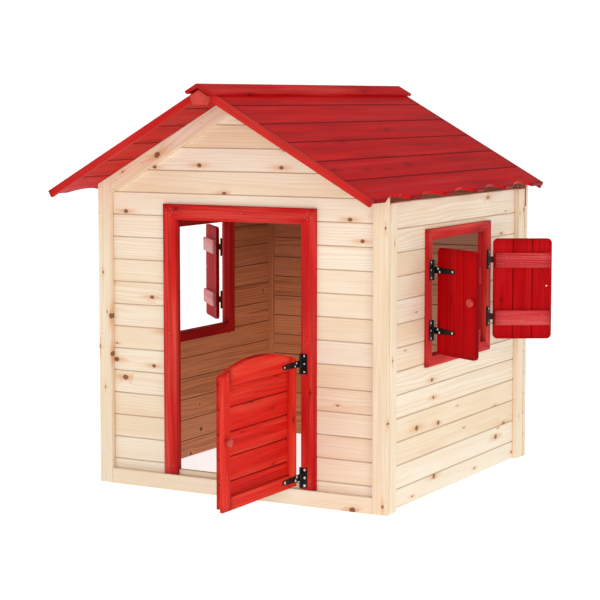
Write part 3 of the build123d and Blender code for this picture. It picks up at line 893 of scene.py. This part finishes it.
def turn(
    mesh: bmesh.types.BMesh, profile: Sequence[tuple[float, float]], place: Matrix, sides: int
) -> list[list]:
    """Turns a profile round a piece's axis.

    Args:
        mesh: The mesh to add to.
        profile: Radius and height of each ring, from one end to the other.
        place: Where the axis stands.
        sides: Facets round the axis.

    Returns:
        The rings of vertices.
    """
    rings = []
    for radius, height in profile:
        ring = []
        for i in range(sides):
            angle = 2 * math.pi * i / sides
            spot = Vector((radius * math.cos(angle), radius * math.sin(angle), height))
            ring.append(mesh.verts.new(place @ spot))
        rings.append(ring)
    for low, high in zip(rings, rings[1:]):
        for i in range(sides):
            j = (i + 1) % sides
            mesh.faces.new((low[i], low[j], high[j], high[i]))
    return rings


def standing(spot: Vector, way: Vector, twist: float = 0.0) -> Matrix:
    """The place of a turned piece.

    Args:
        spot: Where its foot is.
        way: Where its head looks.
        twist: Turn about its own axis, in radians.

    Returns:
        The placing matrix.
    """
    return (
        Matrix.Translation(spot)
        @ way.to_track_quat("Z", "Y").to_matrix().to_4x4()
        @ Matrix.Rotation(twist, 4, "Z")
    )


@dataclass(frozen=True)
class CrossScrew:
    """A pan-head wood screw with a cross recess, as big as the plain one it stands for."""

    SAME_LEVEL = 1e-5

    sides: int = 28
    arm: float = 0.13
    reach: float = 0.52
    depth: float = 0.55
    draft: float = 0.8
    dome: float = 0.35

    def add_to(self, mesh: bmesh.types.BMesh, solid: Solid, twist: float) -> None:
        """Adds one screw.

        Args:
            mesh: The mesh to add to.
            solid: The plain screw.
            twist: How far round it was driven.
        """
        foot, way, length, radius, shank, height = self.sizes(solid)
        place = standing(foot, way, twist)
        top = length
        rim = top - height * self.dome
        rings = turn(
            mesh,
            [
                (shank * 0.25, 0.0),
                (shank, shank * 2.0),
                (shank, top - height),
                (radius, top - height),
                (radius, rim - height * 0.15),
                (radius * 0.93, rim + height * self.dome * 0.55),
                (radius * 0.76, top),
            ],
            place,
            self.sides,
        )
        mesh.faces.new(rings[0])
        self._recess(mesh, place, rings[-1], radius, top, height)

    def sizes(self, solid: Solid) -> tuple[Vector, Vector, float, float, float, float]:
        """Reads a plain screw's sizes.

        Args:
            solid: The plain screw.

        Returns:
            Its foot, direction, length, head radius, shank radius and head height.
        """
        points = solid.points
        middle = points.mean(axis=0)
        spread = np.linalg.eigh(np.cov((points - middle).T))
        order = spread[0]
        odd = 0 if order[1] - order[0] > order[2] - order[1] else 2
        axis = spread[1][:, odd]
        run = points @ axis
        off_axis = points - np.outer(run, axis) - (middle - axis * (middle @ axis))
        flat = np.linalg.norm(off_axis, axis=1)
        low, high = run.min(), run.max()
        centre_run = (low + high) / 2
        if flat[run < centre_run].max() > flat[run > centre_run].max():
            axis, run, low, high = -axis, -run, -high, -low
        length = high - low
        foot = Vector(points[run - low < self.SAME_LEVEL].mean(axis=0))
        span = points - np.array(foot)
        along = span @ axis
        radial = np.linalg.norm(span - np.outer(along, axis), axis=1)
        radius = radial.max()
        shank = radial[along < length * 0.2].max()
        head = along[radial > radius * 0.98]
        return foot, Vector(axis), length, radius, shank, length - head.min()

    def _recess(
        self,
        mesh: bmesh.types.BMesh,
        place: Matrix,
        rim: list,
        radius: float,
        top: float,
        height: float,
    ) -> None:
        """Closes a head with a cross sunk in it.

        Args:
            mesh: The mesh to add to.
            place: Where the screw stands.
            rim: The head's last ring.
            radius: Head radius.
            top: Height of the head's top.
            height: Head height.
        """
        arm, reach = radius * self.arm, radius * self.reach
        quarter = [(reach, -arm), (reach, arm), (arm, arm)]
        outline = []
        for turn_count in range(4):
            cosine, sine = (1, 0, -1, 0)[turn_count], (0, 1, 0, -1)[turn_count]
            outline += [(u * cosine - v * sine, u * sine + v * cosine) for u, v in quarter]
        floor = top - height * self.depth
        upper = [mesh.verts.new(place @ Vector((u, v, top))) for u, v in outline]
        lower = [
            mesh.verts.new(place @ Vector((u * self.draft, v * self.draft, floor)))
            for u, v in outline
        ]
        edges = []
        for ring in (rim, upper):
            for a, b in zip(ring, ring[1:] + ring[:1]):
                edges.append(mesh.edges.get((a, b)) or mesh.edges.new((a, b)))
        bmesh.ops.triangle_fill(mesh, use_beauty=True, use_dissolve=False, edges=edges)
        for i in range(len(upper)):
            j = (i + 1) % len(upper)
            mesh.faces.new((upper[i], upper[j], lower[j], lower[i]))
        mesh.faces.new(lower)


@dataclass(frozen=True)
class Nail:
    """A panel pin's head, just proud of the wood."""

    radius: float = 0.0017
    proud: float = 0.0004
    sunk: float = 0.004
    shank: float = 0.55
    sides: int = 14

    def add_to(self, mesh: bmesh.types.BMesh, spot: Vector, way: Vector) -> None:
        """Adds one nail.

        Args:
            mesh: The mesh to add to.
            spot: A point of the wood's surface.
            way: Out of the wood.
        """
        place = standing(spot, way)
        r, p = self.radius, self.proud
        shank = r * self.shank
        foot = [(shank, -self.sunk), (shank, -p)]
        head = [(r, -p * 0.5), (r, p * 0.4), (r * 0.72, p), (r * 0.3, p * 0.8)]
        rings = turn(mesh, foot + head, place, self.sides)
        mesh.faces.new(rings[0])
        mesh.faces.new(rings[-1])


class Fixings:
    """Makes the screws and nails of the playhouse and lets them ride on their bodies."""

    def __init__(
        self,
        joinery: Joinery,
        zinc: bpy.types.Material,
        steel: bpy.types.Material,
        seed: int,
    ) -> None:
        """Keeps the materials of screws and nails.

        Args:
            joinery: Finds the plain screws.
            zinc: For screws.
            steel: For nails.
            seed: Seed of the draw of twists.
        """
        self.joinery = joinery
        self.zinc = zinc
        self.steel = steel
        self.draw = np.random.default_rng(seed)

    def screws(self, node: str, body: str) -> bpy.types.Object:
        """Makes the detailed screws that stand for a node's plain ones.

        Args:
            node: The node of plain screws.
            body: The body that they ride on.

        Returns:
            The piece.
        """
        mesh = bmesh.new()
        for solid in self.joinery.solids(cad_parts[node]):
            CrossScrew().add_to(mesh, solid, self.draw.uniform(0, math.pi))
        piece = new_piece(f"{node}_cross_heads", mesh)
        piece.data.materials.append(self.zinc)
        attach(piece, body)
        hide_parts(node)
        return piece

    def nails(
        self, name: str, body: str, spots: Iterable[Spot], nail: Nail = Nail(), bright: bool = False
    ) -> bpy.types.Object:
        """Makes one piece of many nail heads.

        Args:
            name: The piece's name.
            body: The body that it rides on.
            spots: Points of the surface and the way out of the wood.
            nail: The nail.
            bright: Plate it like the screws.

        Returns:
            The piece.
        """
        mesh = bmesh.new()
        for spot, way in spots:
            nail.add_to(mesh, spot, way)
        piece = new_piece(name, mesh)
        piece.data.materials.append(self.zinc if bright else self.steel)
        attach(piece, body)
        return piece


# --- Sub-assemblies ---
class Side(Enum):
    """The two long sides of the house, seen from its front."""

    RIGHT = 1
    LEFT = -1


class Place(Enum):
    """Where a shutter hangs."""

    RIGHT_FRONT = "right_front"
    RIGHT_REAR = "right_rear"
    LEFT_FRONT = "left_front"
    LEFT_REAR = "left_rear"


@dataclass
class Workshop:
    """What every sub-assembly needs: the finishes, the joinery and the fixings."""

    finishes: dict[str, bpy.types.Material]
    joinery: Joinery
    fixings: Fixings

    def finish(self, node: str, finish: str, wooden: bool = True) -> list[Solid]:
        """Gives a node its finish.

        Args:
            node: The node.
            finish: Name of the finish.
            wooden: Write the grain of its boards.

        Returns:
            Its solids, if it is wooden.
        """
        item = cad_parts[node]
        solids = self.joinery.mark(item) if wooden else []
        for slot in item.material_slots:
            slot.material = self.finishes[finish]
        log.info("%s: %s, %d solids", node, finish, len(solids))
        return solids


@dataclass
class GablePanel:
    """The front or back panel: boards behind two posts, a bottom rail and two sloped battens."""

    name: str
    nail_steps: tuple[float, ...] = (-0.86, -0.45, 0.0, 0.45, 0.86)
    nail_line: float = 0.1
    middle_nail_line: float = -0.2

    def dress(self, shop: Workshop) -> None:
        """Gives the panel its finishes and nails.

        Args:
            shop: Finishes, joinery and fixings.
        """
        out = Vector((0, -1, 0)) if self.name == "front" else Vector((0, 1, 0))
        shop.finish(f"{self.name}_wall_planks", "fir_board")
        shop.finish(f"{self.name}_posts", "fir_post")
        battens = shop.finish(f"{self.name}_gable_battens", "fir_batten")
        spots = []
        for batten in battens:
            for step in self.nail_steps:
                line = self.nail_line if step else self.middle_nail_line
                spots.append(batten.spot(step, line, out))
        shop.fixings.nails(f"{self.name}_gable_nails", "house", spots)


@dataclass
class SidePanel:
    """A side panel: boards round a window with its casing and lining, and a post at each end."""

    side: Side
    casing_nail: float = 0.020
    nail_stagger: float = 0.1

    def dress(self, shop: Workshop) -> None:
        """Gives the panel its finishes and nails.

        Args:
            shop: Finishes, joinery and fixings.
        """
        name = self.side.name.lower()
        out = Vector((self.side.value, 0, 0))
        shop.finish(f"{name}_wall_planks", "fir_board")
        casing = shop.finish(f"{name}_window_casing", "red_casing")
        shop.finish(f"{name}_window_lining", "red_lining")
        spots = []
        for board in casing:
            end = 1 - self.casing_nail / board.half.x
            for sign in (-1, 1):
                spots.append(board.spot(sign * end, sign * self.nail_stagger, out))
        shop.fixings.nails(f"{name}_casing_nails", "house", spots)


@dataclass
class Roof:
    """Two slopes of boards on sloped battens, with bargeboards, ridge caps and end blocks."""

    nail_line: float = 0.70
    gable_nail: float = 0.012

    def dress(self, shop: Workshop) -> None:
        """Gives the roof its finishes and nails.

        Args:
            shop: Finishes, joinery and fixings.
        """
        battens = shop.finish("roof_battens", "fir_painted_shade")
        lines = sorted({round(batten.centre.y, 3) for batten in battens})
        low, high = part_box("front_posts")[0].y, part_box("back_posts")[1].y
        lines = [low + self.gable_nail, *lines, high - self.gable_nail]
        for name in ("right", "left"):
            boards = shop.finish(f"roof_planks_{name}", "red_roof")
            boards += shop.finish(f"roof_eave_plank_{name}", "red_roof")
            spots = []
            for board in boards:
                up = board.through * board.facing(Vector((0, 0, 1)))
                lean = board.along * (1 if board.along.y > 0 else -1)
                for line in lines:
                    for sign in (-1, 1):
                        spot, _ = board.spot(0, sign * self.nail_line, up)
                        spots.append((spot + lean * (line - board.centre.y), up))
            shop.fixings.nails(f"roof_nails_{name}", "house", spots)
        for node in ("front_bargeboards", "rear_bargeboards"):
            shop.finish(node, "red_barge")
        shop.finish("ridge_end_blocks", "red_block")
        shop.finish("ridge_caps", "red_cap")


@dataclass
class DoorCasing:
    """The mitred casing and the lining of the doorway, and the sill board behind the rail."""

    nail_end: float = 0.030
    end_nail_lines: tuple[float, float] = (-0.35, 0.45)
    middle_nail: tuple[float, float] = (0.05, 0.1)

    def dress(self, shop: Workshop) -> None:
        """Gives the doorway its finishes and nails.

        Args:
            shop: Finishes, joinery and fixings.
        """
        casing = shop.finish("door_casing", "red_casing")
        shop.finish("door_lining", "red_lining")
        shop.finish("door_sill_plank", "fir_board")
        out = Vector((0, -1, 0))
        spots = []
        for board in casing:
            end = 1 - self.nail_end / board.half.x
            for sign in (-1, 1):
                spots += [board.spot(sign * end, line, out) for line in self.end_nail_lines]
            spots.append(board.spot(*self.middle_nail, out))
        shop.fixings.nails("door_casing_nails", "house", spots)


@dataclass
class HalfDoor:
    """The arched half door: a frame of stiles and rails over a back layer of boards."""

    stile_nails: tuple[float, ...] = (-0.93, -0.5, 0.0, 0.5, 0.9)
    stile_nail_lines: tuple[float, float] = (-0.2, 0.1)
    rail_nail: float = 0.86

    def dress(self, shop: Workshop) -> None:
        """Gives the door its finishes, screws and nails.

        Args:
            shop: Finishes, joinery and fixings.
        """
        front = []
        for node in ("door_stile_hinge_side", "door_stile_free_side"):
            front += shop.finish(node, "red_door")
        for node in ("door_top_rail", "door_bottom_rail"):
            front += shop.finish(node, "red_rail")
        boards = shop.finish("door_planks", "red_door_board")
        shop.finish("door_knob", "red_knob")
        shop.finish("door_hinge_straps", "black_iron", wooden=False)
        shop.fixings.screws("door_screws", "door")
        out = (front[0].centre - boards[0].centre).project(front[0].through).normalized()
        spots = []
        for board in front[:2]:
            for count, step in enumerate(self.stile_nails):
                spots.append(board.spot(step, self.stile_nail_lines[count % 2], out))
        for board in front[2:]:
            for sign in (-1, 1):
                spots.append(board.spot(sign * self.rail_nail, 0.0, out))
        shop.fixings.nails("door_nails", "door", spots)


@dataclass
class Shutter:
    """A shutter: three boards on two battens, with a turned knob and two strap hinges."""

    place: Place
    nail_thirds: tuple[float, ...] = (-0.66, 0.0, 0.66)
    nail_rows: tuple[float, float] = (0.45, -0.45)
    nail_lean: float = 0.12
    knob_screw: Nail = Nail(radius=0.0027, proud=0.0006)

    def dress(self, shop: Workshop) -> None:
        """Gives the shutter its finishes, screws and nails.

        Args:
            shop: Finishes, joinery and fixings.
        """
        name, body = self.place.value, f"{self.place.value}_shutter"
        boards = shop.finish(f"{name}_shutter_boards", "red_shutter")
        # The shutters on the left side get a paler batten stain.
        on_left_side = self.place in (Place.LEFT_FRONT, Place.LEFT_REAR)
        battens = shop.finish(f"{name}_shutter_battens", "pale_batten" if on_left_side else "red_batten")
        knob = shop.finish(f"{name}_shutter_knob", "red_knob")[0]
        shop.finish(f"{name}_shutter_straps", "black_iron", wooden=False)
        shop.fixings.screws(f"{name}_shutter_screws", body)
        spots = []
        for batten in battens:
            out = batten.through * batten.facing(batten.centre - boards[1].centre)
            for third in self.nail_thirds:
                for row in self.nail_rows:
                    spots.append(batten.spot(third + row * self.nail_lean, row, out))
        shop.fixings.nails(f"{name}_shutter_nails", body, spots)
        inward = (boards[1].centre - knob.centre).project(boards[1].through).normalized()
        drop = (knob.centre - boards[1].centre).project(inward)
        back = knob.centre - drop + inward * boards[1].half.z
        shop.fixings.nails(f"{name}_knob_screw", body, [(back, inward)], self.knob_screw, True)


@dataclass
class Carcass:
    """What holds the panels together: rails, posts, corner battens, hinge plates and screws."""

    def dress(self, shop: Workshop) -> None:
        """Gives the carcass its finishes and screws.

        Args:
            shop: Finishes, joinery and fixings.
        """
        for node in ("bottom_rails", "side_posts"):
            shop.finish(node, "fir_post")
        shop.finish("corner_battens", "fir_painted_shade")
        for node in ("door_hinge_plates", "shutter_hinge_plates", "hinge_pins"):
            shop.finish(node, "black_iron", wooden=False)
        for node in ("hinge_plate_screws", "panel_screws"):
            shop.fixings.screws(node, "house")


# --- Studio ---
@dataclass
class Softbox:
    """A soft lamp that looks at a point."""

    name: str
    spot: Vector
    size: float
    power: float
    colour: Colour = (1.0, 1.0, 1.0)

    def build(self, target: Vector) -> None:
        """Hangs the lamp.

        Args:
            target: What it looks at.
        """
        data = bpy.data.lights.new(self.name, "AREA")
        data.shape = "DISK"
        data.size = self.size
        data.energy = self.power
        data.color = self.colour
        lamp = bpy.data.objects.new(self.name, data)
        lamp.location = self.spot
        lamp.rotation_euler = (target - self.spot).to_track_quat("-Z", "Y").to_euler()
        bpy.context.scene.collection.objects.link(lamp)


@dataclass
class Studio:
    """A pale floor, a white room, soft lamps and the camera."""

    eye: Vector = field(default_factory=lambda: Vector((3.1279, -5.1856, 1.3289)))
    heading: float = 0.5089
    pitch: float = -0.09
    lens: float = 110.44
    shift_y: float = -0.06
    floor_size: float = 60.0
    room: float = 0.62
    gloss_room: float = 0.28
    backdrop: float = 1.1
    floor_colour: Colour = (0.55, 0.55, 0.55)
    floor_glow: float = 0.80

    def build(self) -> None:
        """Builds the studio."""
        self._camera()
        self._floor()
        self._room()
        target = Vector((0, 0.55, 0.6))
        for lamp in (
            Softbox("key_lamp", Vector((-2.6, -5.0, 4.2)), 2.6, 16.0, (1.0, 0.99, 0.97)),
            Softbox("front_lamp", Vector((2.8, -5.8, 1.8)), 2.4, 66.0),
            Softbox("side_lamp", Vector((5.4, -2.8, 2.5)), 3.0, 74.0),
            Softbox("top_lamp", Vector((0.6, 0.4, 5.5)), 3.5, 42.0),
        ):
            lamp.build(target)
        view = bpy.context.scene.view_settings
        view.view_transform = "Standard"
        view.look = "None"

    def _camera(self) -> None:
        """Sets the camera."""
        data = bpy.data.cameras.new("camera")
        data.sensor_width = 36.0
        data.lens = self.lens
        data.shift_y = self.shift_y
        data.clip_end = 100.0
        right = Vector((math.cos(self.heading), math.sin(self.heading), 0))
        level = math.cos(self.pitch)
        ahead = Vector((-right.y * level, right.x * level, math.sin(self.pitch)))
        up = right.cross(ahead)
        camera = bpy.data.objects.new("camera", data)
        turned = Matrix((right, up, -ahead)).transposed().to_4x4()
        camera.matrix_world = Matrix.Translation(self.eye) @ turned
        bpy.context.scene.collection.objects.link(camera)
        bpy.context.scene.camera = camera

    def _floor(self) -> None:
        """Lays the floor."""
        mesh = bmesh.new()
        bmesh.ops.create_grid(mesh, x_segments=2, y_segments=2, size=self.floor_size / 2)
        floor = new_piece("studio_floor", mesh, smooth=False)
        graph = Surface("studio_floor")
        mottle = graph.cloud(graph.place(), 3.0, 2.0)
        colour = graph.blend(mottle, self.floor_colour, tuple(c * 0.985 for c in self.floor_colour))
        glow = {"Emission Color": seen((1.0, 1.0, 1.0)), "Emission Strength": self.floor_glow}
        graph.feed(graph.shader, {"Base Color": colour, "Roughness": 0.9, **glow})
        floor.data.materials.append(graph.material)

    def _room(self) -> None:
        """Lights the room evenly."""
        world = bpy.data.worlds.new("white_room")
        graph = Graph(world)
        path = graph.add("ShaderNodeLightPath")
        level: object = self.room
        for ray, strength in (("Is Glossy Ray", self.gloss_room), ("Is Camera Ray", self.backdrop)):
            sockets = {0: path.outputs[ray], 2: level, 3: strength}
            level = graph.add("ShaderNodeMix", {"data_type": "FLOAT"}, sockets).outputs[0]
        sockets = {"Color": seen((1.0, 1.0, 1.0)), "Strength": level}
        light = graph.add("ShaderNodeBackground", {}, sockets)
        graph.add("ShaderNodeOutputWorld", {}, {"Surface": light.outputs[0]})
        bpy.context.scene.world = world


def finishes() -> dict[str, bpy.types.Material]:
    """Builds every finish of the playhouse.

    Returns:
        The materials by name.
    """
    plain = Timber(groove=0.0)
    clear = Timber(groove=0.0, knots=0.10)
    post = Timber(groove=0.0, knots=0.30, knot_pitch=0.13, knot_lane=0.05, ring=0.005)
    flat = Timber(groove=0.0, knots=0.12, ring=0.0052, waver=0.05)
    batten = Timber(groove=0.0, knots=0.55, knot_pitch=0.15, knot_lane=0.06, knot_size=0.0095)
    small = Timber(groove=0.0, knots=0.10)
    roof = Timber(groove=0.0066, knots=0.30, ring=0.009)
    door = Timber(groove=0.0034, knots=0.45, knot_size=0.010)
    pale_rings = {"ringed": 0.45, "pale_rings": True}
    polished = {"rough": 0.26, "shine": 0.6}
    leaf = Timber(groove=0.0026, knots=0.30, knot_size=0.009)
    stains = (
        ("red_casing", (190, 16, 18), (208, 34, 28), (226, 90, 74), clear, {"seam_and_shade": 0.35}),
        ("red_lining", (166, 10, 16), (184, 20, 22), (198, 52, 46), clear, {}),
        ("red_roof", (186, 0, 5), (196, 3, 9), (210, 34, 32), roof, {"rough": 0.42, "shine": 0.05}),
        ("red_cap", (186, 6, 12), (198, 16, 18), (210, 60, 54), clear, {"shine": 0.06}),
        ("red_barge", (190, 24, 22), (202, 40, 34), (216, 78, 66), clear, {}),
        ("red_block", (216, 66, 58), (226, 82, 70), (234, 112, 96), small, {"seam_and_shade": 0.6}),
        ("red_door", (206, 18, 12), (218, 34, 22), (230, 80, 58), plain, {}),
        # The rails' strong edge band paints the shadow under the top rail.
        ("red_rail", (204, 18, 12), (216, 34, 22), (228, 80, 58), plain, {"seam_and_shade": 0.8}),
        ("red_door_board", (198, 14, 10), (210, 28, 18), (222, 68, 48), door, {}),
        ("red_shutter", (176, 0, 7), (190, 1, 12), (202, 24, 28), leaf, {"shine": 0.05}),
        ("red_batten", (182, 18, 28), (196, 36, 44), (226, 104, 100), flat, pale_rings),
        ("pale_batten", (222, 124, 124), (234, 158, 154), (244, 196, 188), flat, {"ringed": 0.3}),
        ("red_knob", (202, 34, 30), (214, 54, 44), (228, 98, 84), small, polished),
    )
    made = [
        BareWood("fir_board", Timber(knots=0.30, inner_skin=0.0045)),
        BareWood("fir_post", post, pale=shade(237, 222, 198), warm=shade(230, 207, 172)),
        BareWood("fir_batten", batten),
        # Roof and corner battens: fir painted in the interior shade all over.
        BareWood("fir_painted_shade", post, indoor_shade_share=1.0),
        *(
            StainedWood(name, shade(*deep), shade(*thin), shade(*streaked), timber, **options)
            for name, deep, thin, streaked, timber, options in stains
        ),
        PowderCoat("black_iron"),
        ZincPlate("zinc_screws"),
        ZincPlate("nail_steel", shade(158, 148, 140), shade(104, 92, 82), 0.42),
    ]
    return {finish.name: finish.material() for finish in made}


def main() -> None:
    """Builds the studio and every sub-assembly in order."""
    logging.basicConfig(level=logging.INFO, format="%(message)s")
    Studio().build()
    made = finishes()
    low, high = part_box("side_posts")
    joinery = Joinery((low + high) / 2, seed=11)
    fixings = Fixings(joinery, made["zinc_screws"], made["nail_steel"], seed=5)
    shop = Workshop(made, joinery, fixings)
    assemblies = [
        GablePanel("front"),
        GablePanel("back"),
        SidePanel(Side.RIGHT),
        SidePanel(Side.LEFT),
        Carcass(),
        Roof(),
        DoorCasing(),
        HalfDoor(),
        *(Shutter(place) for place in Place),
    ]
    for assembly in assemblies:
        assembly.dress(shop)
        log.info("dressed %s", assembly)


if __name__ == "__main__":
    main()
